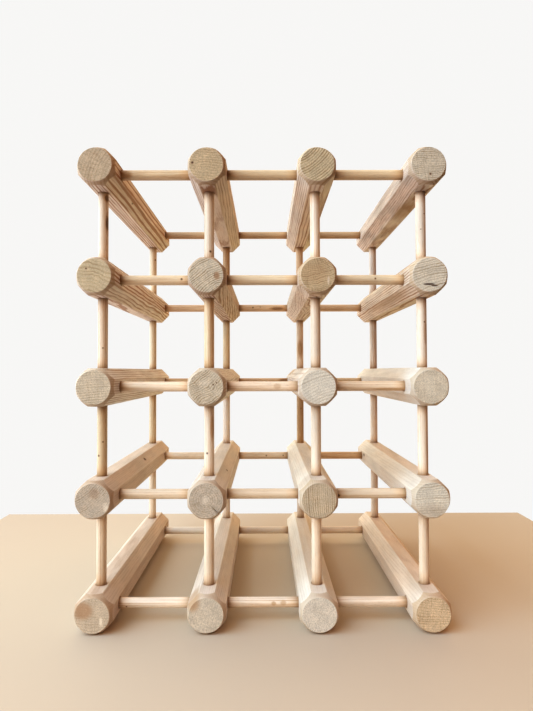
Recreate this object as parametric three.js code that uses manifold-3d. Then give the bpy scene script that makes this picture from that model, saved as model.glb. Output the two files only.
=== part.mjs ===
// A free-standing wooden wine rack: twenty eight-sided rails run front to back in a grid of
// four columns and five levels, and the square cells between them each hold one bottle.
// Thin round dowels tie the rails together in a front plane and in a rear plane.
// Millimetres. +X is right, +Y is back and +Z is up. The origin is on the surface that the
// rack stands on, under the middle of the rack.

import * as THREE from 'three';
import { mergeVertices } from 'three/addons/utils/BufferGeometryUtils.js';
import Module from 'manifold-3d';

const wasm = await Module();
wasm.setup();

// Driving dimensions.
const COLUMNS = 4;
const LEVELS = 5;
const PITCH = 101.6;                // between the axes of neighbouring rails, both ways
const RAIL_LENGTH = 292.1;
const RAIL_ACROSS_FLATS = 34.925;
const END_FACE_DIAMETER = 31.2;     // the round face that a rail's front end is turned to
const BEVEL_LENGTH = 4.4;           // of the turned cone, along the middle of a flat
const REAR_CHAMFER = 0.8;           // round the eight edges of a rail's plain sawn rear end
const DOWEL_DIAMETER = 9.525;
const DOWEL_INSET = 28.575;         // from a rail's end face to the plane of the dowels
const SOCKET_DEPTH = 11.2;          // of a blind hole, below the flat that it is drilled in
const FIT_GAP = 0.3;                // left round a dowel and behind its end

// How finely round surfaces are divided.
const CONE_SEGMENTS = 32;
const DOWEL_SEGMENTS = 12;

// Derived dimensions.
const RAIL_SIDES = 8;
const HALF_SIDE_ANGLE = Math.PI / RAIL_SIDES;
const FLAT_RADIUS = RAIL_ACROSS_FLATS / 2;
const CORNER_RADIUS = FLAT_RADIUS / Math.cos(HALF_SIDE_ANGLE);
const END_FACE_RADIUS = END_FACE_DIAMETER / 2;
const CONE_GROWTH = (FLAT_RADIUS - END_FACE_RADIUS) / BEVEL_LENGTH;
const DOWEL_RADIUS = DOWEL_DIAMETER / 2;
const SOCKET_RADIUS = DOWEL_RADIUS + FIT_GAP;
const DOWEL_PLANE_Y = RAIL_LENGTH / 2 - DOWEL_INSET;
const DOWEL_BITE = SOCKET_DEPTH - FIT_GAP;
const PEG_LENGTH = PITCH - RAIL_ACROSS_FLATS + 2 * DOWEL_BITE;
const POST_LENGTH = (LEVELS - 1) * PITCH - RAIL_ACROSS_FLATS + 2 * DOWEL_BITE;
const OVERCUT = 2;                  // how far a cutting solid reaches past the face it opens

const railWood = new THREE.MeshStandardMaterial({ color: 0xcbab82, roughness: 0.62, metalness: 0 });
const dowelWood = new THREE.MeshStandardMaterial({ color: 0xe6cfa6, roughness: 0.58, metalness: 0 });

// A closed three.js geometry as a solid that can be cut.
function toSolid(geometry) {
  const bare = geometry.clone();
  bare.deleteAttribute('normal');
  bare.deleteAttribute('uv');
  const merged = mergeVertices(bare);
  const vertProperties = new Float32Array(merged.getAttribute('position').array);
  const triVerts = new Uint32Array(merged.getIndex().array);
  return new wasm.Manifold(new wasm.Mesh({ numProp: 3, vertProperties, triVerts }));
}

// A cut solid back as a three.js geometry with crisp edges.
function toGeometry(solid) {
  const mesh = solid.getMesh();
  const indexed = new THREE.BufferGeometry();
  indexed.setAttribute('position', new THREE.BufferAttribute(mesh.vertProperties, 3));
  indexed.setIndex(new THREE.BufferAttribute(mesh.triVerts, 1));
  const geometry = indexed.toNonIndexed();
  geometry.computeVertexNormals();
  return geometry;
}

// An eight-sided prism along Y with flats on the sides, top and bottom. The distances from the
// axis to its flats may differ between its rear end and its front end.
function octagonPrism(rearFlatRadius, frontFlatRadius, length) {
  const toCorner = 1 / Math.cos(HALF_SIDE_ANGLE);
  const geometry = new THREE.CylinderGeometry(
    rearFlatRadius * toCorner, frontFlatRadius * toCorner, length, RAIL_SIDES, 1, false, HALF_SIDE_ANGLE);
  return toSolid(geometry);
}

// A rail's outside: an eight-sided bar along Y with a turned cone at the front end and a small
// chamfer at the rear end.
function railBlank() {
  const bar = octagonPrism(FLAT_RADIUS, FLAT_RADIUS, RAIL_LENGTH);
  const rearFlatRadius = FLAT_RADIUS - REAR_CHAMFER;
  const chamfer = octagonPrism(rearFlatRadius, rearFlatRadius + RAIL_LENGTH, RAIL_LENGTH);
  const blankRadius = CORNER_RADIUS + OVERCUT;
  const coneLength = (blankRadius - END_FACE_RADIUS) / CONE_GROWTH;
  const end = RAIL_LENGTH / 2;
  const profile = [
    new THREE.Vector2(0, -end),
    new THREE.Vector2(END_FACE_RADIUS, -end),
    new THREE.Vector2(blankRadius, coneLength - end),
    new THREE.Vector2(blankRadius, end),
    new THREE.Vector2(0, end),
  ];
  const turned = toSolid(new THREE.LatheGeometry(profile, CONE_SEGMENTS));
  return bar.intersect(chamfer).intersect(turned);
}

// A round hole along X (turn about Z) or along Z (turn about X), between two distances from the
// rail's axis. Its mouth reaches past the flat.
function hole(alongZ, from, to, planeY) {
  const geometry = new THREE.CylinderGeometry(SOCKET_RADIUS, SOCKET_RADIUS, to - from, DOWEL_SEGMENTS);
  if (alongZ) {
    geometry.rotateX(Math.PI / 2);
    geometry.translate(0, planeY, (from + to) / 2);
  } else {
    geometry.rotateZ(Math.PI / 2);
    geometry.translate((from + to) / 2, planeY, 0);
  }
  return toSolid(geometry);
}

// The holes of one rail in one dowel plane. A neighbour on a side means a hole on that side,
// and a rail with rails both above and below it is drilled right through for the post.
function railHoles(column, level, planeY) {
  const floor = FLAT_RADIUS - SOCKET_DEPTH;
  const mouth = FLAT_RADIUS + OVERCUT;
  const hasBelow = level > 0;
  const hasAbove = level < LEVELS - 1;
  const holes = [hole(true, hasBelow ? -mouth : floor, hasAbove ? mouth : -floor, planeY)];
  if (column > 0) {
    holes.push(hole(false, -mouth, -floor, planeY));
  }
  if (column < COLUMNS - 1) {
    holes.push(hole(false, floor, mouth, planeY));
  }
  return holes;
}

function railGeometry(blank, column, level) {
  const planes = [-DOWEL_PLANE_Y, DOWEL_PLANE_Y];
  const holes = planes.flatMap((planeY) => railHoles(column, level, planeY));
  return toGeometry(holes.reduce((rail, cut) => rail.subtract(cut), blank));
}

function columnX(column) {
  return (column - (COLUMNS - 1) / 2) * PITCH;
}

function levelZ(level) {
  return FLAT_RADIUS + level * PITCH;
}

function addMesh(parent, name, geometry, material, x, z) {
  const mesh = new THREE.Mesh(geometry, material);
  mesh.name = name;
  mesh.position.set(x, 0, z);
  parent.add(mesh);
}

function buildRails() {
  const rails = new THREE.Group();
  const blank = railBlank();
  for (let column = 0; column < COLUMNS; column += 1) {
    for (let level = 0; level < LEVELS; level += 1) {
      const name = `rail_column${column + 1}_level${level + 1}`;
      const geometry = railGeometry(blank, column, level);
      addMesh(rails, name, geometry, railWood, columnX(column), levelZ(level));
    }
  }
  return rails;
}

// One plane of dowels: a post up every column, and a peg across every gap at every level.
function buildDowelPlane(side, planeY) {
  const plane = new THREE.Group();
  plane.position.y = planeY;
  const post = new THREE.CylinderGeometry(DOWEL_RADIUS, DOWEL_RADIUS, POST_LENGTH, DOWEL_SEGMENTS);
  post.rotateX(Math.PI / 2);
  const peg = new THREE.CylinderGeometry(DOWEL_RADIUS, DOWEL_RADIUS, PEG_LENGTH, DOWEL_SEGMENTS);
  peg.rotateZ(Math.PI / 2);
  const middleZ = (levelZ(0) + levelZ(LEVELS - 1)) / 2;
  for (let column = 0; column < COLUMNS; column += 1) {
    addMesh(plane, `${side}_post_column${column + 1}`, post, dowelWood, columnX(column), middleZ);
  }
  for (let gap = 0; gap < COLUMNS - 1; gap += 1) {
    const middleX = (columnX(gap) + columnX(gap + 1)) / 2;
    for (let level = 0; level < LEVELS; level += 1) {
      const name = `${side}_peg_gap${gap + 1}_level${level + 1}`;
      addMesh(plane, name, peg, dowelWood, middleX, levelZ(level));
    }
  }
  return plane;
}

const rack = new THREE.Group();
rack.add(buildRails());
rack.add(buildDowelPlane('front', -DOWEL_PLANE_Y));
rack.add(buildDowelPlane('rear', DOWEL_PLANE_Y));

export default rack;
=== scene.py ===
"""The looks of the wooden wine rack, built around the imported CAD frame.

Everything is in metres in the CAD's own frame, except the wood grain, which is laid out in
millimetres in the coordinates of the tree that each piece was cut from.
"""

import math
import random

import bmesh
import bpy
import numpy as np
from mathutils import Matrix, Vector


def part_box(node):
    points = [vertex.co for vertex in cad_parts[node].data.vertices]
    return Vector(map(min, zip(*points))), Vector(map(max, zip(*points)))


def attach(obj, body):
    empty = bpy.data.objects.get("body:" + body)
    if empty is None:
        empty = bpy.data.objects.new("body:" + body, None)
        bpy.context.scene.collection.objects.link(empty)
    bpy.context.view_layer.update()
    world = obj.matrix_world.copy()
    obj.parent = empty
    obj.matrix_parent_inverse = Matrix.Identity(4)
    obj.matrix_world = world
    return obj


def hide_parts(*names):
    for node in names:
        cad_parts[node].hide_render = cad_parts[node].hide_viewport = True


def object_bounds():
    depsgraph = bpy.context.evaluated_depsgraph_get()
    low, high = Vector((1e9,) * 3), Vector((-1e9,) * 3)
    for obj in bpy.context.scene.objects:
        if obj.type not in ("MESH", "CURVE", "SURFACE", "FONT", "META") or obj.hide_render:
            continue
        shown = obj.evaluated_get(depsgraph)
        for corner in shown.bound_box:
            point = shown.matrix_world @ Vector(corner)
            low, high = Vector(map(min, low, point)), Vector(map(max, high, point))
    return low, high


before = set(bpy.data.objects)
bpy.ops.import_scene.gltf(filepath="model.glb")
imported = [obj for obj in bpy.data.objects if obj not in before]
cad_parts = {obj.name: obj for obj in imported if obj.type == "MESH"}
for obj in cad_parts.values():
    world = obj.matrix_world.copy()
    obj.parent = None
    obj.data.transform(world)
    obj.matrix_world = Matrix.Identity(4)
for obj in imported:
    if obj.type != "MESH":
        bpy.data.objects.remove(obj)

cad_low, cad_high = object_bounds()

MM = 0.001
COLUMNS = 4
LEVELS = 5

# ---------------------------------------------------------------- sizes read from the frame

RAIL_LOW, RAIL_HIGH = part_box("rail_column1_level1")
PEG_LOW, PEG_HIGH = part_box("front_peg_gap1_level1")
HALF_LENGTH = (RAIL_HIGH.y - RAIL_LOW.y) / 2
FLAT_RADIUS = (RAIL_HIGH.x - RAIL_LOW.x) / 2
DOWEL_RADIUS = (PEG_HIGH.z - PEG_LOW.z) / 2
DOWEL_BITE = RAIL_HIGH.x - PEG_LOW.x
DOWEL_PLANE_Y = abs(PEG_LOW.y + PEG_HIGH.y) / 2
PLANES = {"front": -DOWEL_PLANE_Y, "rear": DOWEL_PLANE_Y}

# ---------------------------------------------------------------- how the pieces are shaped

RAIL_SIDES = 8
HALF_SIDE = math.pi / RAIL_SIDES
END_FACE_RADIUS = 15.6 * MM
CONE_LENGTH = 4.4 * MM          # of the turned cone, along the middle of a flat
CONE_SLOPE = (FLAT_RADIUS - END_FACE_RADIUS) / CONE_LENGTH
CONE_ANGLE = math.atan(CONE_SLOPE)
CONE_EDGE = 0.1 * MM            # half the width of the eased edge where the cone meets a flat
REAR_CHAMFER = 0.8 * MM
REAR_EASE = 0.12 * MM           # of the edges of the rear chamfer
ARRIS_ROUND = 0.45 * MM
ARRIS_WEAR = 0.05 * MM          # how far the arrises are rubbed down
ARRIS_UNEVEN = 0.025 * MM       # how much that changes along the rail
DIP_LENGTHS = (90 * MM, 37 * MM, 17 * MM)
RIM_ROUND = 0.4 * MM
RIM_UNEVEN = 0.12 * MM          # how far the turned face is out of round
SOCKET_RADIUS = DOWEL_RADIUS + 0.12 * MM
SOCKET_DEPTH = DOWEL_BITE + 0.25 * MM
SOCKET_EASE = 0.3 * MM
SOCKET_RING_DEPTH = 3 * MM      # of a ring of points down the socket's wall
END_ZONE = 9 * MM               # at each end of a rail, before the first even ring of points
RING_STEP = 9 * MM              # about how far apart the rings of points are along a rail
DOWEL_EASE = 0.6 * MM           # of the edges of a dowel's ends
DOWEL_UNEVEN = 0.03 * MM        # how far a dowel is out of round
DOWEL_TWIST = 40 * MM           # along a dowel, for its unevenness to turn by one radian
JOINT_PAINTED_SHADE_REACH = 12 * MM           # how far out along a dowel the painted contact shade at its joint reaches

# How finely the surfaces are divided.
FACE_SHARES = (0.2, 0.38, 0.5, 0.62, 0.75, 0.88)
REAR_FACE_SHARES = (0.2, 0.4, 0.55, 0.7, 0.85)
CONE_SHARES = (0.3, 0.55, 0.8)
RIM_STEPS = 5
END_RINGS = 3
FLAT_STEPS = 12
ARRIS_STEPS = 4
SIDE_STEPS = FLAT_STEPS + ARRIS_STEPS
RAIL_STEPS = RAIL_SIDES * SIDE_STEPS
DOWEL_STEPS = 40
DOWEL_RINGS = 24

# A drying crack opens from near the pith to the rim on the front end of one rail.
CRACKED_RAIL = (2, 2)
CRACK_COLUMN = 7 * SIDE_STEPS + FLAT_STEPS // 2
CRACK_START = 6.0 * MM          # from the rail's axis
CRACK_HALF_WIDTH = 0.32 * MM
CRACK_DEPTH = 3.5 * MM
CRACK_END_Y = -HALF_LENGTH + 16 * MM
CRACK_FACE_TAPER = 5 * MM       # over which it opens on the end face
CRACK_SIDE_TAPER = 12 * MM      # over which it closes along the rail


def column_x(column):
    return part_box(f"rail_column{column}_level1")[0].x + FLAT_RADIUS


def level_z(level):
    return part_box(f"rail_column1_level{level}")[0].z + FLAT_RADIUS


# ---------------------------------------------------------------- the wood of each piece

# The linear colours of the planed sides and of the ends that are cut across the grain.
SIDE_TONES = {
    "tan": (0.75, 0.64, 0.50),
    "grey": (0.63, 0.50, 0.39),
    "fawn": (0.67, 0.56, 0.45),
    "golden": (0.76, 0.66, 0.55),
    "pale": (0.72, 0.64, 0.55),
    "cream": (0.76, 0.70, 0.61),
}
END_TONES = {
    "dull": (0.53, 0.41, 0.27),
    "brown": (0.57, 0.44, 0.27),
    "ash": (0.55, 0.47, 0.37),
    "stone": (0.58, 0.52, 0.43),
    "tan": (0.58, 0.47, 0.30),
    "beige": (0.60, 0.50, 0.36),
    "orange": (0.65, 0.52, 0.36),
    "grey": (0.64, 0.55, 0.41),
    "pale": (0.71, 0.63, 0.49),
    "chalk": (0.66, 0.61, 0.53),
    "cream": (0.73, 0.68, 0.57),
}


class Wood:
    """How a piece's wood lies in the tree and how it looks. Lengths are in millimetres."""

    def __init__(self, tone, end_tone, pith, spacing=1.6, rings=0.5, rays=0.2, wave=1.5,
                 tilt=(0.0, 0.0), grain=0.5, mottle=0.5, grey=0.3):
        self.tone = tone
        self.end_tone = end_tone
        self.pith = pith            # right of and above the piece's axis, seen from the front
        self.spacing = spacing      # between growth rings
        self.rings = rings          # how strongly the rings show on the ends
        self.rays = rays            # how strongly the rays show on the ends
        self.wave = wave            # how far the rings wander
        self.tilt = tilt            # degrees that the grain runs off the piece's axis
        self.grain = grain          # how strongly the rings show along the sides
        self.mottle = mottle        # how much the colour changes from place to place
        self.grey = grey            # how much the ends have greyed


def rail_wood(side, end, *figure, **more):
    return Wood(SIDE_TONES[side], END_TONES[end], *figure, **more)


# By column and by level, level 1 at the bottom: the tones of the sides and the ends, then the
# pith, spacing, rings, rays, wave and tilt.
RAIL_WOOD = {
    (1, 5): rail_wood("tan", "dull", (68, -28), 2.9, 0.4, 0.8, 1.0, (0.3, 0.1), grain=1.6, grey=0.4),
    (2, 5): rail_wood("fawn", "brown", (12, 120), 2.3, 0.6, 0.1, 2.2, (0.4, 1.4), grain=1.0, grey=0.1),
    (3, 5): rail_wood("tan", "tan", (-32, 34), 2.2, 1.4, 0.1, 1.0, (0.9, 0.4), grain=0.9, grey=0.1),
    (4, 5): rail_wood("fawn", "grey", (6, -190), 1.8, 1.0, 0.6, 2.0, (0.5, 1.2), grain=0.9, mottle=1.2),
    (1, 4): rail_wood("golden", "tan", (-25, -110), 3.6, 0.45, 0.1, 3.4, (0.5, 1.2), grain=1.4, grey=0.2),
    (2, 4): rail_wood("grey", "grey", (26, -54), 1.9, 1.0, 0.1, 2.0, (0.3, 3.0), grain=1.4, grey=0.7),
    (3, 4): rail_wood("tan", "brown", (-34, 38), 1.8, 0.9, 1.2, 2.4, (9.0, 6.0), grain=1.2, grey=0.1),
    (4, 4): rail_wood("tan", "pale", (22, -84), 2.4, 0.7, 0.1, 1.8, (0.2, 0.6), grain=1.0, grey=0.5),
    (1, 3): rail_wood("cream", "grey", (18, -230), 2.2, 0.5, 0.5, 0.8, (0.4, 0.7), grain=0.9, grey=0.3),
    (2, 3): rail_wood("cream", "grey", (-44, 52), 2.1, 0.9, 0.5, 3.0, (1.4, 0.6), grain=0.5, grey=0.7),
    (3, 3): rail_wood("pale", "cream", (18, -52), 2.6, 0.5, 0.05, 1.0, (0.5, 0.4), grain=0.6, grey=0.0),
    (4, 3): rail_wood("cream", "pale", (210, 8), 1.2, 0.4, 0.4, 0.6, (0.2, 0.5), grain=0.05, grey=0.2),
    (1, 2): rail_wood("grey", "ash", (-48, 58), 1.7, 0.5, 0.3, 1.8, (0.5, 0.3), grain=0.15, grey=0.6),
    (2, 2): rail_wood("pale", "ash", (-0.6, 0.4), 2.0, 0.4, 0.6, 1.0, (0.1, 0.1), grain=0.12, grey=0.5),
    (3, 2): rail_wood("cream", "beige", (170, 12), 1.9, 1.0, 0.3, 1.2, (0.4, 0.4), grain=0.05, grey=0.5),
    (4, 2): rail_wood("cream", "cream", (-14, 240), 2.1, 0.55, 0.12, 1.2, (0.3, 1.2), grain=0.06, grey=0.3),
    (1, 1): rail_wood("grey", "ash", (10, 120), 2.3, 0.3, 0.3, 2.8, (0.4, 0.5), grain=0.2, grey=0.2),
    (2, 1): rail_wood("pale", "stone", (70, -22), 1.9, 0.18, 0.15, 1.6, (0.3, 0.6), grain=0.1, mottle=0.4),
    (3, 1): rail_wood("cream", "chalk", (-90, 30), 1.6, 0.14, 0.2, 1.4, (0.5, 0.3), grain=0.04, mottle=0.3),
    (4, 1): rail_wood("golden", "orange", (8, 210), 2.2, 0.45, 0.7, 1.8, (0.3, 1.8), grain=0.1, grey=0.0),
}


class Mark:
    """A knot, a stain or a pale patch: its centre and its radii, in millimetres right, back and
    up from the middle of its piece, and how dark, how brown and how pale it is."""

    def __init__(self, place, radii, dark=0.0, brown=0.0, pale=0.0):
        self.place = place
        self.radii = radii
        self.strength = (dark, brown, pale)


def knot(x, y, z, radius):
    return Mark((x, y, z), (radius, radius * 2, radius), dark=0.9, brown=0.6)


def stain(x, y, z, radii, brown=0.7):
    return Mark((x, y, z), radii, brown=brown)


def pale_patch(x, y, z, radii, pale=0.7):
    return Mark((x, y, z), radii, pale=pale)


MARKS_EACH = 3
NO_MARK = Mark((0, 0, 9999), (1, 1, 1))
FRONT_END = -HALF_LENGTH / MM
SURFACE = FLAT_RADIUS / MM

RAIL_MARKS = {
    (1, 5): [knot(14, -62, -10, 1.1)],
    (2, 5): [knot(-12.6, FRONT_END, 1.6, 1.1)],
    (4, 5): [knot(1.4, FRONT_END, -9.2, 0.9), stain(3, -62, -SURFACE, (9, 22, 4)),
             pale_patch(-3, -5, -SURFACE, (8, 22, 4))],
    (1, 4): [knot(-7.2, FRONT_END, 6.3, 0.8)],
    (2, 4): [Mark((9.6, FRONT_END, -0.5), (1.8, 8, 2.6), dark=0.12, brown=0.75),
             Mark((7.4, FRONT_END, 0.4), (0.4, 5, 2.6), dark=0.5)],
    (3, 4): [pale_patch(9.5, FRONT_END, -5, (1.2, 5, 4), 0.45),
             stain(-3, FRONT_END, 2, (9, 9, 7), 0.3)],
    (4, 4): [Mark((-0.9, FRONT_END, -8.6), (5.8, 6, 0.9), dark=1.0),
             Mark((4.0, FRONT_END, -10.0), (3.4, 5, 0.8), dark=0.9),
             stain(-12, -30, -10, (6, 50, 3), 0.5)],
    (2, 3): [knot(6.5, FRONT_END, 2.4, 0.7), knot(9.4, FRONT_END, 4.0, 0.6),
             pale_patch(-2, FRONT_END, 4, (5, 6, 3), 0.3)],
    (3, 3): [knot(-10, 118, 13, 2.2), stain(-11, 105, 12, (5, 24, 4), 0.8)],
    (4, 3): [stain(-15, -80, 0, (6, 30, 9), 0.25)],
    (1, 2): [Mark((1.5, FRONT_END, 6.5), (3.6, 9, 3.6), dark=0.15, brown=0.3),
             pale_patch(12.0, FRONT_END, -6.5, (2.5, 5, 5), 0.5), knot(12.4, 12, 12.4, 1.8)],
    (2, 2): [pale_patch(-0.6, FRONT_END, 0.4, (4.0, 7, 5.0), 0.4), knot(13, -60, 12, 1.2)],
    (3, 2): [stain(-11, -128, 12, (7, 12, 6), 0.35)],
    (4, 2): [knot(-SURFACE, 98, 3.5, 1.9), Mark((0, FRONT_END, -10), (12, 9, 5), dark=0.12, brown=0.2)],
    (1, 1): [stain(-8, FRONT_END, 4.5, (6, 9, 5.5), 0.65), pale_patch(8, FRONT_END, -5, (1.6, 6, 5))],
    (2, 1): [stain(-12, -137, 11, (5, 14, 6), 0.75)],
    (4, 1): [stain(-8, -110, SURFACE, (9, 20, 5), 0.25)],
}

# The dowels' marks are given by their x and z on the dowel's front.
DOWEL_FRONT = -DOWEL_RADIUS / MM


def front_mark(x, z, radii, dark=0.0, brown=0.0):
    return Mark((x, DOWEL_FRONT, z), radii, dark=dark, brown=brown)


def front_knot(x, z, radius):
    return knot(x, DOWEL_FRONT, z, radius)


DOWEL_MARKS = {
    "dowel_front_upright_column1_span4": [
        Mark((4.4, DOWEL_FRONT * 0.5, 4), (1.3, 4, 7), dark=0.75, brown=0.7),
        Mark((4.0, DOWEL_FRONT * 0.5, 28), (1.8, 4, 3), dark=0.6, brown=0.9)],
    "dowel_front_upright_column2_span4": [front_knot(1.6, -24, 1.0)],
    "dowel_front_cross_gap1_level4": [front_knot(25, 0.4, 1.0)],
    "dowel_front_cross_gap1_level5": [front_mark(-30, -1, (5, 4, 3), brown=0.8)],
    "dowel_front_upright_column1_span3": [front_knot(1.5, -14, 0.7)],
    "dowel_front_upright_column1_span2": [front_knot(2.0, -1, 0.7), front_knot(-2.0, -14, 0.9)],
    "dowel_front_upright_column2_span3": [front_mark(2.5, 2, (1.5, 4, 26), brown=0.5)],
    "dowel_front_upright_column2_span2": [front_mark(3.5, 12, (1.5, 4, 9), brown=0.8),
                                          front_knot(-1.5, -12, 0.9)],
    "dowel_front_upright_column4_span4": [front_knot(2.4, 12, 0.6), front_knot(-1, -3, 0.5)],
    "dowel_front_upright_column4_span3": [front_knot(1.5, 10, 0.7),
                                          front_mark(2.6, 0, (1.5, 4, 8), brown=0.6)],
    "dowel_front_upright_column4_span2": [front_mark(3.2, -4, (0.8, 4, 22), brown=0.7)],
    "dowel_front_cross_gap3_level4": [front_knot(6, 0.6, 0.8)],
    "dowel_front_cross_gap3_level3": [front_mark(20, -2.8, (14, 4, 0.9), brown=0.8)],
    "dowel_front_cross_gap3_level2": [front_mark(-31, -1, (2.2, 4, 1.6), dark=0.8, brown=0.8)],
    "dowel_front_cross_gap1_level1": [front_knot(-26, -2, 0.7)],
    "dowel_front_cross_gap2_level1": [front_mark(10, 0.4, (1.6, 4, 1.4), brown=0.8),
                                      front_mark(19, 1.0, (2.0, 4, 1.6), brown=0.7)],
    "dowel_front_cross_gap2_level3": [front_mark(14, 0, (2.4, 4, 2), brown=0.5)],
    "dowel_rear_cross_gap2_level4": [front_knot(-14, 0.5, 0.9), front_knot(-4, 1, 0.6),
                                     front_mark(20, -1, (8, 4, 2), dark=0.4, brown=0.8)],
    "dowel_rear_cross_gap2_level3": [front_mark(29, 1, (7, 4, 3), dark=0.5, brown=0.9),
                                     front_knot(4, 0, 0.9)],
    "dowel_rear_cross_gap2_level2": [front_knot(4, 0.6, 0.9), front_knot(27, 0.8, 0.8)],
    "dowel_rear_upright_column3_span3": [front_mark(0, -6, (3, 4, 9), dark=0.15, brown=0.8)],
    "dowel_rear_upright_column3_span2": [front_knot(1, 14, 1.0), front_mark(0, 0, (4, 5, 30), brown=0.7)],
    "dowel_rear_upright_column1_span4": [knot(3.5, DOWEL_FRONT * 0.6, 16, 0.9)],
}


# ---------------------------------------------------------------- mesh building

class Surface:
    """Vertices, faces and per-vertex wood data of one piece, in the piece's own coordinates."""

    def __init__(self):
        self.points = []
        self.faces = []
        self.end_grain = []
        self.wear = []
        self.joint = []
        self.turned = []

    def add(self, points, end_grain=0.0, wear=0.0, joint=0.0, turned=0.0):
        """Adds a row of points and returns their numbers. The data are numbers or one per point."""
        first = len(self.points)
        count = len(points)
        self.points.extend(tuple(p) for p in points)
        stores = (self.end_grain, self.wear, self.joint, self.turned)
        for store, value in zip(stores, (end_grain, wear, joint, turned)):
            store.extend(np.broadcast_to(value, count).tolist())
        return list(range(first, first + count))

    def bridge(self, inner, outer):
        """A closed strip of quads between two rows with the same number of points."""
        count = len(inner)
        for i in range(count):
            j = (i + 1) % count
            self.faces.append((inner[i], inner[j], outer[j], outer[i]))

    def cap(self, row, centre):
        for i in range(len(row)):
            self.faces.append((row[i], row[(i + 1) % len(row)], centre))

    def to_object(self, name, centre):
        """The piece as an object at the origin with its faces outward, and its local points."""
        used = sorted({i for face in self.faces for i in face})
        renumber = {old: new for new, old in enumerate(used)}
        local = np.array([self.points[i] for i in used])
        mesh = bpy.data.meshes.new(name)
        faces = [tuple(renumber[i] for i in face) for face in self.faces]
        mesh.from_pydata((local + np.array(centre)).tolist(), [], faces)
        for label in ("end_grain", "wear", "joint", "turned"):
            values = [getattr(self, label)[i] for i in used]
            mesh.attributes.new(label, "FLOAT", "POINT").data.foreach_set("value", values)
        faces_outward(mesh)
        piece = bpy.data.objects.new(name, mesh)
        bpy.context.scene.collection.objects.link(piece)
        return piece, local


def faces_outward(mesh):
    shaped = bmesh.new()
    shaped.from_mesh(mesh)
    bmesh.ops.recalc_face_normals(shaped, faces=shaped.faces)
    shaped.to_mesh(mesh)
    shaped.free()
    mesh.shade_smooth()


FLAT_SHADING_WEIGHT = 80        # how much the larger faces decide the shading


def keep_flats_flat(piece):
    """Shades the narrow rounded edges smoothly while the broad faces stay flat."""
    modifier = piece.modifiers.new("weighted_normals", "WEIGHTED_NORMAL")
    modifier.keep_sharp = True
    modifier.weight = FLAT_SHADING_WEIGHT


def rail_outline():
    """The cross-section with rounded arrises: points (x, z) and how far each is worn."""
    half_flat = (FLAT_RADIUS - ARRIS_ROUND) * math.tan(HALF_SIDE)
    points = []
    wear = []
    for side in range(RAIL_SIDES):
        angle = side * 2 * HALF_SIDE
        normal = np.array((math.cos(angle), math.sin(angle)))
        along = np.array((-math.sin(angle), math.cos(angle)))
        for i in range(FLAT_STEPS + 1):
            points.append(normal * FLAT_RADIUS + along * half_flat * (2 * i / FLAT_STEPS - 1))
            wear.append(0.7 if i in (0, FLAT_STEPS) else 0.0)
        centre = normal * (FLAT_RADIUS - ARRIS_ROUND) + along * half_flat
        for i in range(1, ARRIS_STEPS):
            turn = angle + 2 * HALF_SIDE * i / ARRIS_STEPS
            points.append(centre + ARRIS_ROUND * np.array((math.cos(turn), math.sin(turn))))
            wear.append(1.0)
    return np.array(points), np.array(wear)


EDGE_WEAR = 0.3                 # how worn the edges round the ends of the flats are
OUTLINE, OUTLINE_WEAR = rail_outline()
OUTLINE_REACH = np.hypot(OUTLINE[:, 0], OUTLINE[:, 1])
OUTLINE_ROUND = OUTLINE / OUTLINE_REACH[:, None]
OUTLINE_TURN = np.arctan2(OUTLINE[:, 1], OUTLINE[:, 0])


def ring(reach, y):
    """One ring of a rail: how far each point is from the axis and where it is along it."""
    xz = OUTLINE_ROUND * np.broadcast_to(reach, RAIL_STEPS)[:, None]
    return np.stack((xz[:, 0], np.broadcast_to(y, RAIL_STEPS), xz[:, 1]), axis=1)


def cracked(points):
    """The ring with the crack's column pushed in and its neighbours drawn up to its lips."""
    x, y, z = points[CRACK_COLUMN]
    reach = math.hypot(x, z)
    along_face = min(1.0, max(0.0, (reach - CRACK_START) / CRACK_FACE_TAPER))
    along_rail = min(1.0, max(0.0, (CRACK_END_Y - y) / CRACK_SIDE_TAPER))
    opening = along_face * along_rail
    moved = points.copy()
    if opening == 0.0:
        return moved
    turn = OUTLINE_TURN[CRACK_COLUMN]
    outward = np.array((math.cos(turn), 0, math.sin(turn)))
    across = np.array((-math.sin(turn), 0, math.cos(turn)))
    on_face = y < -HALF_LENGTH + 0.05 * MM
    inward = np.array((0, 1, 0)) if on_face else (np.array((0, 0.5, 0)) - outward)
    middle = points[CRACK_COLUMN]
    for side in (-1, 1):
        lip = middle + side * across * CRACK_HALF_WIDTH * opening
        moved[CRACK_COLUMN + side] = lip
    moved[CRACK_COLUMN] = middle + inward * CRACK_DEPTH * opening
    return moved


class RailEnd:
    """Rings of points from the middle of an end face outward. end is -1 in front and 1 behind."""

    def __init__(self, surface, end, shape):
        self.surface = surface
        self.end = end
        self.shape = shape
        self.rows = []

    def add(self, reach, depth, end_grain=0.0, wear=0.0, turned=0.0):
        points = self.shape(ring(reach, self.end * (HALF_LENGTH - depth)))
        self.rows.append(self.surface.add(points, end_grain, wear, turned=turned))

    def close(self):
        """Joins the rings up and returns the last one, where the flats begin."""
        for inner, outer in zip(self.rows, self.rows[1:]):
            self.surface.bridge(inner, outer)
        centre = self.surface.add([(0, self.end * HALF_LENGTH, 0)], end_grain=1.0)[0]
        self.surface.cap(self.rows[0], centre)
        return self.rows[-1]


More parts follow.
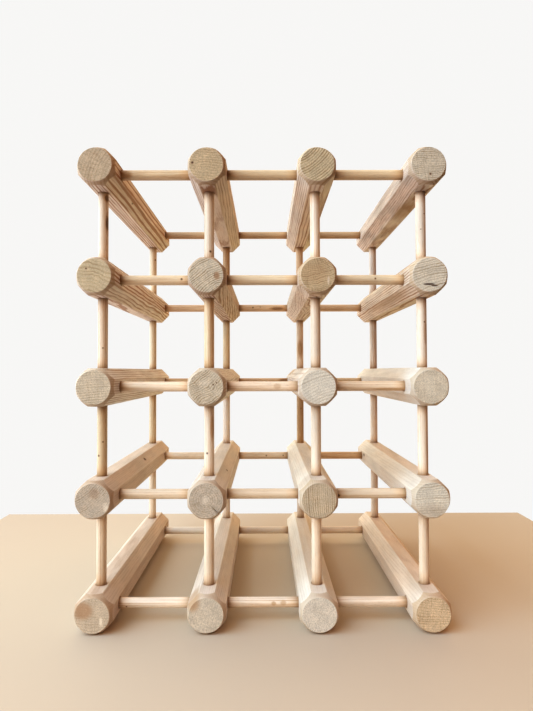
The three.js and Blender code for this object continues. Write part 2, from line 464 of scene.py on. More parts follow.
def add_turned_front(surface, out_of_round, shape):
    """A round face, its eased rim, and the turned cone that runs out on the flats."""
    front = RailEnd(surface, -1, shape)
    rim_centre = END_FACE_RADIUS - RIM_ROUND * (1 - math.sin(CONE_ANGLE)) / math.cos(CONE_ANGLE)
    for share in FACE_SHARES:
        front.add((rim_centre + out_of_round) * share, 0.0, end_grain=1.0)
    for i in range(RIM_STEPS + 1):
        part = i / RIM_STEPS
        turn = math.pi / 2 + (CONE_ANGLE - math.pi / 2) * part
        depth = RIM_ROUND * (1 - math.sin(turn))
        reach = rim_centre + RIM_ROUND * math.cos(turn) + out_of_round
        # The rim rows are marked worn: rubbed wear, and a painted highlight along the rim.
        front.add(reach, depth, end_grain=1.0 - 0.4 * part, wear=0.8 * (i > 0), turned=part)
    cone_start = END_FACE_RADIUS + out_of_round
    run_out = (OUTLINE_REACH - cone_start) / CONE_SLOPE
    for share in CONE_SHARES:
        depth = RIM_ROUND + (run_out - RIM_ROUND) * share
        front.add(cone_start + CONE_SLOPE * depth, depth, end_grain=0.5, turned=1.0)
    depth = run_out - CONE_EDGE
    front.add(cone_start + CONE_SLOPE * depth, depth, end_grain=0.4, wear=EDGE_WEAR, turned=0.8)
    front.add(OUTLINE_REACH, run_out + CONE_EDGE, wear=np.maximum(OUTLINE_WEAR, EDGE_WEAR))
    return front.close()


def add_sawn_rear(surface, shape):
    """A plain eight-sided face with a small chamfer whose edges are eased."""
    rear = RailEnd(surface, 1, shape)
    face = (FLAT_RADIUS - REAR_CHAMFER) / FLAT_RADIUS
    ease = REAR_EASE / FLAT_RADIUS
    for share in REAR_FACE_SHARES:
        rear.add(OUTLINE_REACH * face * share, 0.0, end_grain=1.0)
    rear.add(OUTLINE_REACH * (face - ease), 0.0, end_grain=1.0)
    rear.add(OUTLINE_REACH * (face + 0.3 * ease), 0.5 * REAR_EASE, end_grain=1.0, wear=0.8, turned=0.5)
    rear.add(OUTLINE_REACH * (1 - 1.3 * ease), REAR_CHAMFER - 1.25 * REAR_EASE,
             end_grain=0.8, wear=EDGE_WEAR, turned=1.0)
    rear.add(OUTLINE_REACH * (1 - 0.3 * ease), REAR_CHAMFER, end_grain=0.5, wear=0.8, turned=0.5)
    rear.add(OUTLINE_REACH, REAR_CHAMFER + REAR_EASE, wear=np.maximum(OUTLINE_WEAR, EDGE_WEAR))
    return rear.close()


def body_stations():
    """Where the rings of the straight part lie, and the first ring of each socket patch."""
    half_patch = (FLAT_RADIUS - ARRIS_ROUND) * math.tan(HALF_SIDE)
    start = HALF_LENGTH - END_ZONE
    stations = []
    patches = {}
    previous = -start
    for label, y in PLANES.items():
        near = y - half_patch
        steps = max(2, round((near - previous) / RING_STEP))
        stations.extend(np.linspace(previous, near, steps + 1)[:-1])
        patches[label] = len(stations)
        stations.extend(np.linspace(near, y + half_patch, FLAT_STEPS + 1)[:-1])
        previous = y + half_patch
    stations.extend(np.linspace(previous, start, END_RINGS))
    return stations, patches


STATIONS, PATCHES = body_stations()


def patch_border(rows, first_row, side):
    """The numbers of the square of points round a socket, in order, on the grid of rings."""
    left = side * SIDE_STEPS
    right = left + FLAT_STEPS
    last_row = first_row + FLAT_STEPS
    border = [rows[first_row][c] for c in range(left, right)]
    border += [rows[r][right] for r in range(first_row, last_row)]
    border += [rows[last_row][c] for c in range(right, left, -1)]
    border += [rows[r][left] for r in range(last_row, first_row, -1)]
    return border


def add_socket(surface, border, side, y):
    """A drilled blind hole in the middle of a flat, with an eased mouth; its inside and mouth are painted
    dark as shade.
    """
    angle = side * 2 * HALF_SIDE
    normal = np.array((math.cos(angle), 0, math.sin(angle)))
    along = np.array((-math.sin(angle), 0, math.cos(angle)))
    back = np.array((0, 1, 0))
    centre = normal * FLAT_RADIUS + back * y
    offsets = [np.array(surface.points[i]) - centre for i in border]
    turns = [math.atan2(o @ back, o @ along) for o in offsets]

    def circle(radius, depth):
        middle = centre - normal * depth
        return [middle + radius * (math.cos(t) * along + math.sin(t) * back) for t in turns]

    # The socket's mouth and inside are marked for painted shade.
    def add_painted_shade_row(points):
        return surface.add(points, end_grain=0.3, joint=1)

    mouth = circle(SOCKET_RADIUS + SOCKET_EASE, 0)
    between = [(np.array(surface.points[i]) + m) / 2 for i, m in zip(border, mouth)]
    rows = [border, surface.add(between), surface.add(mouth, joint=0.85)]
    rows.append(add_painted_shade_row(circle(SOCKET_RADIUS + 0.3 * SOCKET_EASE, 0.3 * SOCKET_EASE)))
    for depth in (SOCKET_EASE, SOCKET_RING_DEPTH, SOCKET_DEPTH):
        rows.append(add_painted_shade_row(circle(SOCKET_RADIUS, depth)))
    rows.append(add_painted_shade_row(circle(SOCKET_RADIUS / 2, SOCKET_DEPTH)))
    for inner, outer in zip(rows, rows[1:]):
        surface.bridge(inner, outer)
    floor = add_painted_shade_row([centre - normal * SOCKET_DEPTH])[0]
    surface.cap(rows[-1], floor)


def socket_sides(column, level):
    """The flats that have a dowel: side 0 is right, 2 is up, 4 is left and 6 is down."""
    sides = []
    if column < COLUMNS:
        sides.append(0)
    if level < LEVELS:
        sides.append(2)
    if column > 1:
        sides.append(4)
    if level > 1:
        sides.append(6)
    return sides


def uneven_dip(draw):
    """A slow wave along the rail, made of three lengths with phases drawn once per rail."""
    phases = [(length, draw.uniform(0, 2 * math.pi)) for length in DIP_LENGTHS]

    def dip(y):
        return sum(math.sin(2 * math.pi * y / length + phase) for length, phase in phases)

    return dip


def worn(points, wear, dip):
    """Points on the arrises moved in by an uneven few hundredths of a millimetre."""
    inward = points * np.array((1, 0, 1))
    inward /= np.linalg.norm(inward, axis=1)[:, None]
    return points - inward * (wear * (ARRIS_WEAR + ARRIS_UNEVEN * dip))[:, None]


def build_rail(column, level, draw):
    surface = Surface()
    shape = cracked if (column, level) == CRACKED_RAIL else (lambda points: points)
    phase = draw.uniform(0, 2 * math.pi)
    lobes = np.sin(2 * OUTLINE_TURN + phase) + 0.5 * np.sin(5 * OUTLINE_TURN - phase)
    out_of_round = RIM_UNEVEN * lobes
    front = add_turned_front(surface, out_of_round, shape)
    rear = add_sawn_rear(surface, shape)
    dip = uneven_dip(draw)
    rows = []
    for y in STATIONS:
        points = worn(ring(OUTLINE_REACH, y), OUTLINE_WEAR, dip(y))
        rows.append(surface.add(shape(points), wear=OUTLINE_WEAR))
    holed = {side: set() for side in range(RAIL_SIDES)}
    for side in socket_sides(column, level):
        for label, first_row in PATCHES.items():
            holed[side].update(range(first_row, first_row + FLAT_STEPS))
            add_socket(surface, patch_border(rows, first_row, side), side, PLANES[label])
    for r in range(len(rows) - 1):
        for c in range(RAIL_STEPS):
            on_flat = c % SIDE_STEPS < FLAT_STEPS
            if on_flat and r in holed[c // SIDE_STEPS]:
                continue
            n = (c + 1) % RAIL_STEPS
            surface.faces.append((rows[r][c], rows[r][n], rows[r + 1][n], rows[r + 1][c]))
    surface.bridge(front, rows[0])
    surface.bridge(rows[-1], rear)
    centre = (column_x(column), 0, level_z(level))
    return surface.to_object(f"wood_rail_column{column}_level{level}", centre)


def build_dowel(name, centre, axis, length, draw):
    """A round rod with eased ends along axis 0 (X) or 2 (Z)."""
    surface = Surface()
    turns = np.linspace(0, 2 * math.pi, DOWEL_STEPS, endpoint=False)
    half = length / 2
    straight = half - DOWEL_EASE
    end_share = 1 - DOWEL_EASE / DOWEL_RADIUS
    stations = [(0.5, -half), (end_share, -half)]
    stations += [(1, s) for s in np.linspace(-straight, straight, DOWEL_RINGS)]
    stations += [(end_share, half), (0.5, half)]
    phase = draw.uniform(0, 2 * math.pi)
    rows = []
    for share, s in stations:
        out_of_round = DOWEL_UNEVEN * np.sin(2 * turns + phase + s / DOWEL_TWIST)
        reach = DOWEL_RADIUS * share + out_of_round - DOWEL_UNEVEN
        points = np.zeros((DOWEL_STEPS, 3))
        points[:, axis] = s
        points[:, 1] = reach * np.cos(turns)
        points[:, 2 - axis] = reach * np.sin(turns)
        on_end = 0.0 if share == 1 else 1.0
        # Painted contact shade: each dowel is coloured darker towards the rails it enters.
        near_joint_painted_shade = max(0.0, 1 - (half - DOWEL_BITE - abs(s)) / JOINT_PAINTED_SHADE_REACH)
        rows.append(surface.add(points, end_grain=on_end, joint=min(1.0, near_joint_painted_shade)))
    for inner, outer in zip(rows, rows[1:]):
        surface.bridge(inner, outer)
    for row, s in ((rows[0], -half), (rows[-1], half)):
        tip = np.zeros(3)
        tip[axis] = s
        surface.cap(row, surface.add([tip], end_grain=1.0)[0])
    return surface.to_object(name, centre)


# ---------------------------------------------------------------- wood data on the meshes

def vector_attribute(mesh, name, values):
    attribute = mesh.attributes.new(name, "FLOAT_VECTOR", "POINT")
    attribute.data.foreach_set("vector", np.asarray(values, np.float32).ravel())


def constant_attribute(mesh, name, value):
    vector_attribute(mesh, name, np.tile(value, (len(mesh.vertices), 1)))


# Which of a piece's own directions lie across, along and up the tree, by the piece's long axis.
TREE_AXES = {0: (1, 0, 2), 1: (0, 1, 2), 2: (0, 2, 1)}

TREE_HALF_HEIGHT = 4000         # millimetres, up or down, within which a piece's height is drawn
YEAR_SEEDS = 50                 # the number that sets a piece's years is drawn from 0 to this
LEAST_PITH_DISTANCE = 9.0       # millimetres, for the spacing of the rays round a nearby pith


def write_wood(piece, local, wood, long_axis, marks, draw):
    """Stores where every point lay in the tree, in millimetres with the trunk along Y."""
    mesh = piece.data
    in_tree = local[:, TREE_AXES[long_axis]] / MM
    length = in_tree[:, 1].copy()
    run_x, run_z = (math.tan(math.radians(t)) for t in wood.tilt)
    in_tree[:, 0] += run_x * length - wood.pith[0]
    in_tree[:, 2] += run_z * length - wood.pith[1]
    in_tree[:, 1] += draw.uniform(-TREE_HALF_HEIGHT, TREE_HALF_HEIGHT)
    vector_attribute(mesh, "tree", in_tree)
    pith_distance = max(LEAST_PITH_DISTANCE, math.hypot(*wood.pith))
    constant_attribute(mesh, "figure", (1 / wood.spacing, wood.rings, wood.rays))
    constant_attribute(mesh, "nature", (wood.wave, pith_distance, draw.uniform(0, YEAR_SEEDS)))
    constant_attribute(mesh, "finish", (wood.grain, wood.mottle, wood.grey))
    constant_attribute(mesh, "tone", wood.tone)
    constant_attribute(mesh, "end_tone", wood.end_tone)
    filled = (marks + [NO_MARK] * MARKS_EACH)[:MARKS_EACH]
    for number, mark in enumerate(filled, 1):
        offset = (local / MM - np.array(mark.place)) / np.array(mark.radii)
        vector_attribute(mesh, f"mark{number}", offset)
        constant_attribute(mesh, f"mark{number}_strength", mark.strength)


# ---------------------------------------------------------------- materials

class Graph:
    """Adds nodes to a material's or a world's tree and links their inputs in one call."""

    def __init__(self, owner):
        owner.use_nodes = True
        self.tree = owner.node_tree

    def node(self, kind, inputs=None, **settings):
        made = self.tree.nodes.new(kind)
        for key, value in settings.items():
            setattr(made, key, value)
        for key, value in (inputs or {}).items():
            self.feed(made.inputs[key], value)
        return made

    def feed(self, socket, value):
        if isinstance(value, bpy.types.NodeSocket):
            self.tree.links.new(value, socket)
        else:
            socket.default_value = value

    def math(self, operation, a, b=0.0, clamp=False):
        made = self.node("ShaderNodeMath", {0: a, 1: b}, operation=operation, use_clamp=clamp)
        return made.outputs[0]

    def product(self, *factors):
        result = factors[0]
        for factor in factors[1:]:
            result = self.math("MULTIPLY", result, factor)
        return result

    def vector(self, operation, a, b):
        made = self.node("ShaderNodeVectorMath", {0: a, 1: b}, operation=operation)
        return made.outputs[0]

    def length(self, vector):
        return self.node("ShaderNodeVectorMath", {0: vector}, operation="LENGTH").outputs["Value"]

    def attribute(self, name, output="Vector"):
        return self.node("ShaderNodeAttribute", attribute_name=name).outputs[output]

    def split(self, vector):
        made = self.node("ShaderNodeSeparateXYZ", {0: vector})
        return made.outputs[0], made.outputs[1], made.outputs[2]

    def join(self, x, y, z):
        return self.node("ShaderNodeCombineXYZ", {0: x, 1: y, 2: z}).outputs[0]

    def noise(self, vector, scale, detail=2.0, roughness=0.5, output=0):
        """Noise with a scale per millimetre along each axis."""
        scaled = self.vector("MULTIPLY", vector, scale)
        inputs = {"Vector": scaled, "Scale": 1.0, "Detail": detail, "Roughness": roughness}
        return self.node("ShaderNodeTexNoise", inputs).outputs[output]

    def ramp(self, value, stops):
        """A smooth curve through (position, value) stops."""
        made = self.node("ShaderNodeValToRGB", {0: value})
        made.color_ramp.interpolation = "EASE"
        elements = made.color_ramp.elements
        while len(elements) < len(stops):
            elements.new(0.5)
        for element, (position, level) in zip(elements, stops):
            element.position = position
            element.color = (level, level, level, 1.0)
        return made.outputs[0]

    def spread(self, value, low, high, to_low=0.0, to_high=1.0):
        inputs = {0: value, 1: low, 2: high, 3: to_low, 4: to_high}
        return self.node("ShaderNodeMapRange", inputs, interpolation_type="SMOOTHSTEP").outputs[0]

    def mix(self, factor, a, b):
        made = self.node("ShaderNodeMix", data_type="RGBA")
        self.feed(made.inputs[0], factor)
        self.feed(made.inputs[6], a)
        self.feed(made.inputs[7], b)
        return made.outputs[2]

    def brighten(self, colour, value):
        return self.vector("MULTIPLY", colour, self.join(value, value, value))

    def shaded(self, factor, colour, base, shade):
        """The colour, with the base colour times the shade laid over it by the factor."""
        return self.mix(factor, colour, self.vector("MULTIPLY", base, shade))


# How fine each noise is, per millimetre: across, along and through the grain. YEAR_WIDTHS goes
# by the distance from the pith, and RAY_LINES by the way round it, the distance and the height.
RING_WANDER = (0.055, 0.008, 0.055)
RING_PATCHES = (0.07, 0.01, 0.07)
YEAR_WIDTHS = (0.16, 1.0, 1.0)
RAY_LINES = (0.85, 0.06, 0.06)
FIBRES = (1.1, 0.03, 1.1)
STREAKS = (0.33, 0.005, 0.33)
CLOUDS = (0.08, 0.016, 0.08)
TINTS = (0.05, 0.012, 0.05)
PORES = (5.0, 0.16, 5.0)
SMEARS = (0.16, 0.16, 0.16)
BLOTCHES = (0.11, 0.11, 0.11)
SPECKS = (1.0, 1.0, 1.0)

BUMP_DEPTH = 0.12 * MM

# One year's line: pale early wood, then a dark band that ends more sharply than it starts.
YEAR_PROFILE = [(0.0, 0.0), (0.42, 0.04), (0.62, 0.85), (0.78, 1.0), (0.92, 0.35), (1.0, 0.0)]

# A shade multiplies the wood's own colour, and a colour is laid over it.
STREAK_SHADE = (0.66, 0.51, 0.38)
LATE_SHADE = (0.5, 0.36, 0.26)
WARM_SHADE = (1.0, 0.92, 0.84)
GREY_SHADE = (0.95, 0.99, 1.04)
PORE_SHADE = (0.40, 0.28, 0.19)
TURNED_SHADE = (0.70, 0.56, 0.41)
# This tint and the joint colour below paint contact shade at the joints and in the sockets.
JOINT_PAINTED_SHADE_TINT = (0.92, 0.68, 0.44)
STAIN_SHADE = (0.62, 0.44, 0.28)
# Lightens worn edges, and paints a highlight on the end-face rims.
RUBBED_AND_RIM_HIGHLIGHT_COLOUR = (0.84, 0.75, 0.62, 1)
# Painted contact shadow at the joints and in the sockets.
JOINT_PAINTED_SHADOW_COLOUR = (0.20, 0.10, 0.04, 1)
PALE_COLOUR = (0.86, 0.78, 0.65, 1)
KNOT_COLOUR = (0.085, 0.04, 0.02, 1)


def growth_rings(g, place, figure, nature):
    """Lines round the pith, which wander and differ from year to year, and the rays."""
    per_mm, ring_strength, ray_strength = figure
    wave, pith_distance, seed = nature
    wander = g.noise(place, RING_WANDER, 3.0, 0.55, output=1)
    shift = g.vector("MULTIPLY", g.vector("SUBTRACT", wander, (0.5, 0.5, 0.5)), g.join(wave, 0.0, wave))
    bent = g.vector("ADD", place, g.vector("MULTIPLY", shift, (3.0, 0.0, 3.0)))
    x, y, z = g.split(bent)
    reach = g.length(g.join(x, 0.0, z))
    width_change = g.noise(g.join(reach, seed, 0.0), YEAR_WIDTHS, 2.0, 0.6)
    years = g.math("ADD", g.math("MULTIPLY", reach, per_mm), g.math("MULTIPLY", width_change, 0.9))
    phase = g.math("FRACT", years)
    line = g.ramp(phase, YEAR_PROFILE)
    year = g.node("ShaderNodeTexWhiteNoise", {"Vector": g.join(g.math("FLOOR", years), seed, 0.0)})
    year_strength = g.spread(year.outputs["Value"], 0.0, 1.0, 0.45, 1.3)
    patchy = g.spread(g.noise(place, RING_PATCHES, 2.0), 0.3, 0.7, 0.5, 1.2)
    rings = g.product(line, year_strength, patchy)

    turn = g.math("ARCTAN2", z, x)
    across = g.product(turn, pith_distance)
    ray_noise = g.noise(g.join(across, reach, y), RAY_LINES, 1.0)
    rays = g.math("MULTIPLY", g.spread(ray_noise, 0.52, 0.72), ray_strength)
    return line, rings, g.product(rings, ring_strength), rays


def add_marks(g, colour, tone, speck):
    """Knots with a dark core, brown stains and pale patches, up to three on a piece."""
    ragged = g.math("SUBTRACT", speck, 0.5)
    for number in range(1, MARKS_EACH + 1):
        reach = g.math("ADD", g.length(g.attribute(f"mark{number}")), ragged)
        dark, brown, pale = g.split(g.attribute(f"mark{number}_strength"))
        halo = g.spread(reach, 0.8, 1.9, 1.0, 0.0)
        core = g.spread(reach, 0.65, 1.15, 1.0, 0.0)
        soft = g.spread(reach, 0.3, 1.3, 1.0, 0.0)
        colour = g.shaded(g.product(halo, brown), colour, tone, STAIN_SHADE)
        colour = g.mix(g.product(soft, pale), colour, PALE_COLOUR)
        colour = g.mix(g.product(core, dark), colour, KNOT_COLOUR)
    return colour


def side_wood(g, place, tone, side_line, rings, line, grain, mottling):
    """The long-grain colour: lines and streaks over a tone that drifts along the piece."""
    fibre = g.noise(place, FIBRES, 4.0, 0.62)
    streak = g.noise(place, STREAKS, 3.0, 0.6)
    cloud = g.noise(place, CLOUDS, 3.0, 0.6)
    tint = g.noise(place, TINTS, 2.0, 0.5)
    fineness = g.math("ADD", g.math("MULTIPLY", grain, 0.95), 0.14)
    hairs = g.product(g.spread(fibre, 0.35, 0.75, -0.12, 0.3), fineness)
    lines = g.math("ADD", g.product(rings, grain), hairs, clamp=True)
    colour = g.shaded(lines, tone, tone, side_line)
    streaky = g.math("ADD", g.math("MULTIPLY", grain, 0.22), 0.12)
    colour = g.shaded(g.product(g.spread(streak, 0.46, 0.72), streaky), colour, tone, STREAK_SHADE)
    late = g.math("ADD", g.math("MULTIPLY", grain, 0.08), 0.04)
    colour = g.shaded(g.product(line, late), colour, tone, LATE_SHADE)
    drift = g.product(g.spread(cloud, 0.25, 0.75, -0.2, 0.2), mottling)
    colour = g.brighten(colour, g.math("ADD", drift, 1.0))
    warmed = g.product(g.spread(tint, 0.4, 0.7), 0.5)
    return g.shaded(warmed, colour, colour, WARM_SHADE), fibre


def end_wood(g, place, tone, end_line, rings, rays, speck, greying):
    """The cut-across colour: rings and rays on a dull speckled ground, greyed in smears."""
    smear = g.noise(place, SMEARS, 3.0, 0.6)
    blotch = g.noise(place, BLOTCHES, 2.0, 0.5)
    lines = g.math("ADD", rings, g.math("MULTIPLY", rays, 0.5), clamp=True)
    colour = g.shaded(lines, tone, tone, end_line)
    colour = g.brighten(colour, g.spread(speck, 0.3, 0.72, 1.24, 0.74))
    colour = g.brighten(colour, g.spread(blotch, 0.3, 0.7, 0.93, 1.07))
    greyed = g.product(g.spread(smear, 0.3, 0.68, 0.15, 1.0), greying)
    return g.shaded(greyed, colour, colour, GREY_SHADE)


def wood_material(name, side_line, end_line, pore_depth):
    """Solid wood: rings, rays and fibres run through the piece, so the ends and sides agree."""
    material = bpy.data.materials.new(name)
    g = Graph(material)
    shader = g.tree.nodes["Principled BSDF"]
    place = g.attribute("tree")
    figure = g.split(g.attribute("figure"))
    nature = g.split(g.attribute("nature"))
    grain, mottling, greying = g.split(g.attribute("finish"))
    end_grain = g.attribute("end_grain", "Fac")
    wear = g.attribute("wear", "Fac")
    joint = g.attribute("joint", "Fac")
    turned = g.attribute("turned", "Fac")
    tone = g.attribute("tone")
    line, rings, end_rings, rays = growth_rings(g, place, figure, nature)
    speck = g.noise(place, SPECKS, 4.0, 0.75)
    side_colour, fibre = side_wood(g, place, tone, side_line, rings, line, grain, mottling)
    end_tone = g.attribute("end_tone")
    end_colour = end_wood(g, place, end_tone, end_line, end_rings, rays, speck, greying)
    colour = g.mix(end_grain, side_colour, end_colour)

    pore_noise = g.noise(place, PORES, 2.0, 0.6)
    most_in_late_wood = g.math("ADD", g.math("MULTIPLY", line, 0.7), 0.3)
    pore = g.math("MULTIPLY", g.spread(pore_noise, 0.56, 0.70), most_in_late_wood)
    colour = g.shaded(g.math("MULTIPLY", pore, 0.42), colour, colour, PORE_SHADE)
    colour = g.shaded(g.math("MULTIPLY", turned, 0.6), colour, tone, TURNED_SHADE)
    # Rubbed wear on the edges, and a painted highlight on the end-face rims.
    rubbed_and_rim_highlight = g.math("MULTIPLY", wear, g.spread(speck, 0.35, 0.6, 0.0, 0.35))
    colour = g.mix(rubbed_and_rim_highlight, colour, RUBBED_AND_RIM_HIGHLIGHT_COLOUR)
    # Painted contact shade: darker and warmer near each joint and inside the sockets.
    colour = g.shaded(g.math("MULTIPLY", joint, 0.6), colour, colour, JOINT_PAINTED_SHADE_TINT)
    colour = g.mix(g.product(joint, joint, joint, 0.8), colour, JOINT_PAINTED_SHADOW_COLOUR)
    colour = add_marks(g, colour, tone, speck)
    g.feed(shader.inputs["Base Color"], colour)

    rough = g.spread(fibre, 0.3, 0.7, 0.5, 0.64)
    rough = g.math("ADD", rough, g.math("MULTIPLY", end_grain, 0.16))
    rough = g.math("SUBTRACT", rough, g.math("MULTIPLY", wear, 0.08), clamp=True)
    g.feed(shader.inputs["Roughness"], rough)
    shader.inputs["Specular IOR Level"].default_value = 0.35

    height = g.math("MULTIPLY", rings, -0.3)
    height = g.math("SUBTRACT", height, g.math("MULTIPLY", pore, pore_depth))
    height = g.math("ADD", height, g.math("MULTIPLY", fibre, 0.5))
    height = g.math("ADD", height, g.product(speck, end_grain, 0.9))
    bump = g.node("ShaderNodeBump", {"Strength": 0.55, "Distance": BUMP_DEPTH, "Height": height})
    g.feed(shader.inputs["Normal"], bump.outputs[0])
    return material


# ---------------------------------------------------------------- the pieces

def finish_piece(piece, material, slot, *nodes):
    piece.data.materials.append(material)
    keep_flats_flat(piece)
    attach(piece, "root")
    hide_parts(*nodes)


def build_rails(material):
    for column in range(1, COLUMNS + 1):
        for level in range(1, LEVELS + 1):
            draw = random.Random(100 * column + level)
            piece, local = build_rail(column, level, draw)
            marks = RAIL_MARKS.get((column, level), [])
            write_wood(piece, local, RAIL_WOOD[column, level], 1, marks, draw)
            finish_piece(piece, material, "rail_wood", f"rail_column{column}_level{level}")


DOWEL_TONES = {
    "amber": (0.57, 0.39, 0.22),
    "orange": (0.78, 0.58, 0.37),
    "honey": (0.71, 0.57, 0.37),
    "gold": (0.82, 0.68, 0.47),
    "straw": (0.82, 0.70, 0.54),
    "cream": (0.87, 0.76, 0.61),
    "ivory": (0.86, 0.78, 0.67),
}

# By plane, then by level from the bottom, then by gap from the left.
CROSS_TONES = {
    "front": [("ivory", "ivory", "ivory"),
              ("straw", "straw", "straw"),
              ("straw", "cream", "straw"),
              ("gold", "gold", "gold"),
              ("honey", "honey", "honey")],
    "rear": [("ivory", "ivory", "ivory"),
             ("straw", "straw", "orange"),
             ("amber", "orange", "gold"),
             ("orange", "orange", "orange"),
             ("amber", "amber", "amber")],
}

# By plane, then by span from the bottom, then by column from the left.
UPRIGHT_TONES = {
    "front": [("straw", "cream", "cream", "cream"),
              ("honey", "cream", "cream", "cream"),
              ("straw", "gold", "cream", "cream"),
              ("straw", "straw", "cream", "cream")],
    "rear": [("straw", "ivory", "ivory", "ivory"),
             ("honey", "ivory", "gold", "ivory"),
             ("gold", "honey", "straw", "ivory"),
             ("gold", "amber", "orange", "ivory")],
}


def dowel_wood(tone, draw):
    pith = (draw.uniform(20, 60) * draw.choice((-1, 1)), draw.uniform(-30, 30))
    tilt = (draw.uniform(-0.8, 0.8), draw.uniform(-0.8, 0.8))
    shade = draw.uniform(0.94, 1.06)
    colour = tuple(c * shade for c in DOWEL_TONES[tone])
    return Wood(colour, colour, pith, draw.uniform(1.2, 2.2), 0.4, 0.1, 0.8, tilt,
                grain=draw.uniform(0.15, 0.5), mottle=draw.uniform(0.3, 0.8), grey=0.0)


def add_dowel(name, centre, axis, length, tone, material, draw, node):
    piece, local = build_dowel(name, centre, axis, length, draw)
    write_wood(piece, local, dowel_wood(tone, draw), axis, DOWEL_MARKS.get(name, []), draw)
    finish_piece(piece, material, "dowel_wood", node)


def build_dowels(material):
    gap = column_x(2) - column_x(1)
    length = gap - 2 * FLAT_RADIUS + 2 * DOWEL_BITE
    for label, y in PLANES.items():
        for level in range(1, LEVELS + 1):
            for column in range(1, COLUMNS):
                draw = random.Random(f"{label} cross {column} {level}")
                centre = (column_x(column) + gap / 2, y, level_z(level))
                tone = CROSS_TONES[label][level - 1][column - 1]
                add_dowel(f"dowel_{label}_cross_gap{column}_level{level}", centre, 0, length,
                          tone, material, draw, f"{label}_peg_gap{column}_level{level}")
        for column in range(1, COLUMNS + 1):
            for level in range(1, LEVELS):
                draw = random.Random(f"{label} upright {column} {level}")
                centre = (column_x(column), y, level_z(level) + gap / 2)
                tone = UPRIGHT_TONES[label][level - 1][column - 1]
                add_dowel(f"dowel_{label}_upright_column{column}_span{level}", centre, 2, length,
                          tone, material, draw, f"{label}_post_column{column}")


# ---------------------------------------------------------------- camera, light and floor

CAMERA_PLACE = (2.3 * MM, cad_low.y - 495.6 * MM, 235.1 * MM)
CAMERA_LENS = 27.8              # millimetres on a 36 mm long side
LOOK_UP = math.radians(1.63)
LOOK_RIGHT = math.radians(0.174)
ROLL = math.radians(-0.154)


def add_camera():
    camera = bpy.data.objects.new("camera", bpy.data.cameras.new("camera"))
    camera.data.lens = CAMERA_LENS
    camera.data.sensor_width = 36.0
    camera.data.clip_start = 0.01
    turn = (Matrix.Rotation(-LOOK_RIGHT, 4, "Z")
            @ Matrix.Rotation(math.pi / 2 + LOOK_UP, 4, "X")
            @ Matrix.Rotation(ROLL, 4, "Z"))
    camera.matrix_world = Matrix.Translation(CAMERA_PLACE) @ turn
    bpy.context.scene.collection.objects.link(camera)
    bpy.context.scene.camera = camera


def add_lamp(name, target, place, size, watts, colour):
    data = bpy.data.lights.new(name, "AREA")
    data.shape = "DISK"
    data.size = size
    data.energy = watts
    data.color = colour
    light = bpy.data.objects.new(name, data)
    light.location = place
    light.rotation_euler = (Vector(target) - Vector(place)).to_track_quat("-Z", "Y").to_euler()
    bpy.context.scene.collection.objects.link(light)


# Light from far away round the rack: the direction it comes from, its colour and its strength.
SOFT_LIGHTS = [
    ((-1, 0, 0), (0.66, 0.60, 1.0), 1.7),
    ((-0.707, 0, 0.707), (0.30, 1.0, 0.80), 1.15),
    ((0, 1, 0), (1.0, 0.78, 0.42), 1.45),
    ((0, 0, 1), (1.0, 0.1, 0.0), 0.75),
]
BACKDROP = (0.945, 0.94, 0.93, 1)
CONTRAST = 1.2                  # of the display, applied as its gamma

# The two lamps: place, size in metres, watts and colour. Both aim at the middle of the rack.
COOL_KEY = ((-1.25, -1.0, 1.43), 2.2, 42, (0.3, 0.62, 1.0))
WARM_KEY = ((-0.97, -1.65, 0.8), 2.0, 21, (1.0, 0.6, 0.12))


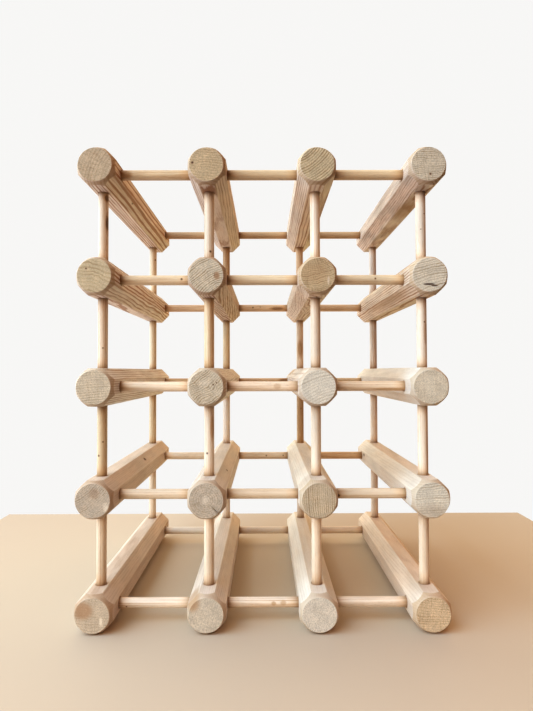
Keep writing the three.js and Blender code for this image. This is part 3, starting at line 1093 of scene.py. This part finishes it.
def add_world():
    """Soft light by direction, in front of a background that is seen as near white."""
    world = bpy.data.worlds.new("studio")
    g = Graph(world)
    direction = g.node("ShaderNodeTexCoord").outputs["Generated"]
    total = (0.0, 0.0, 0.0)
    for source, colour, strength in SOFT_LIGHTS:
        facing = g.node("ShaderNodeVectorMath", {0: direction, 1: source}, operation="DOT_PRODUCT")
        share = g.math("MULTIPLY", g.math("MAXIMUM", facing.outputs["Value"], 0.0), strength)
        total = g.vector("ADD", total, g.vector("MULTIPLY", colour, g.join(share, share, share)))
    soft = g.tree.nodes["Background"]
    g.feed(soft.inputs["Color"], total)
    backdrop = g.node("ShaderNodeBackground", {"Color": BACKDROP})
    seen = g.node("ShaderNodeLightPath").outputs["Is Camera Ray"]
    inputs = {0: seen, 1: soft.outputs[0], 2: backdrop.outputs[0]}
    chosen = g.node("ShaderNodeMixShader", inputs)
    g.feed(g.tree.nodes["World Output"].inputs[0], chosen.outputs[0])
    bpy.context.scene.world = world


def add_light():
    centre = (cad_low + cad_high) / 2
    add_lamp("cool key", centre, *COOL_KEY)
    add_lamp("warm key", centre, *WARM_KEY)
    add_world()
    bpy.context.scene.view_settings.view_transform = "Standard"
    bpy.context.scene.view_settings.gamma = 1 / CONTRAST


TABLE_COLOUR = (0.56, 0.46, 0.35, 1)


def add_floor():
    """A pale table top that ends a little way behind the rack."""
    left, right = -0.42, 0.42
    front, back = -0.34, 0.273
    top, bottom = -0.05 * MM, -0.03
    corners = [(x, y, z) for z in (bottom, top) for x, y in
               ((left, front), (right, front), (right, back), (left, back))]
    faces = [(3, 2, 1, 0), (4, 5, 6, 7), (0, 1, 5, 4), (1, 2, 6, 5), (2, 3, 7, 6), (3, 0, 4, 7)]
    mesh = bpy.data.meshes.new("floor")
    mesh.from_pydata(corners, [], faces)
    floor = bpy.data.objects.new("floor", mesh)
    material = bpy.data.materials.new("pale_floor")
    shader = Graph(material).tree.nodes["Principled BSDF"]
    shader.inputs["Base Color"].default_value = TABLE_COLOUR
    shader.inputs["Roughness"].default_value = 0.8
    mesh.materials.append(material)
    bpy.context.scene.collection.objects.link(floor)


add_camera()
add_light()
add_floor()
rail_material = wood_material("rail_wood", side_line=(0.50, 0.28, 0.16),
                              end_line=(0.60, 0.50, 0.39), pore_depth=0.8)
dowel_material = wood_material("dowel_wood", side_line=(0.66, 0.44, 0.27),
                               end_line=(0.62, 0.50, 0.38), pore_depth=0.4)
build_rails(rail_material)
build_dowels(dowel_material)
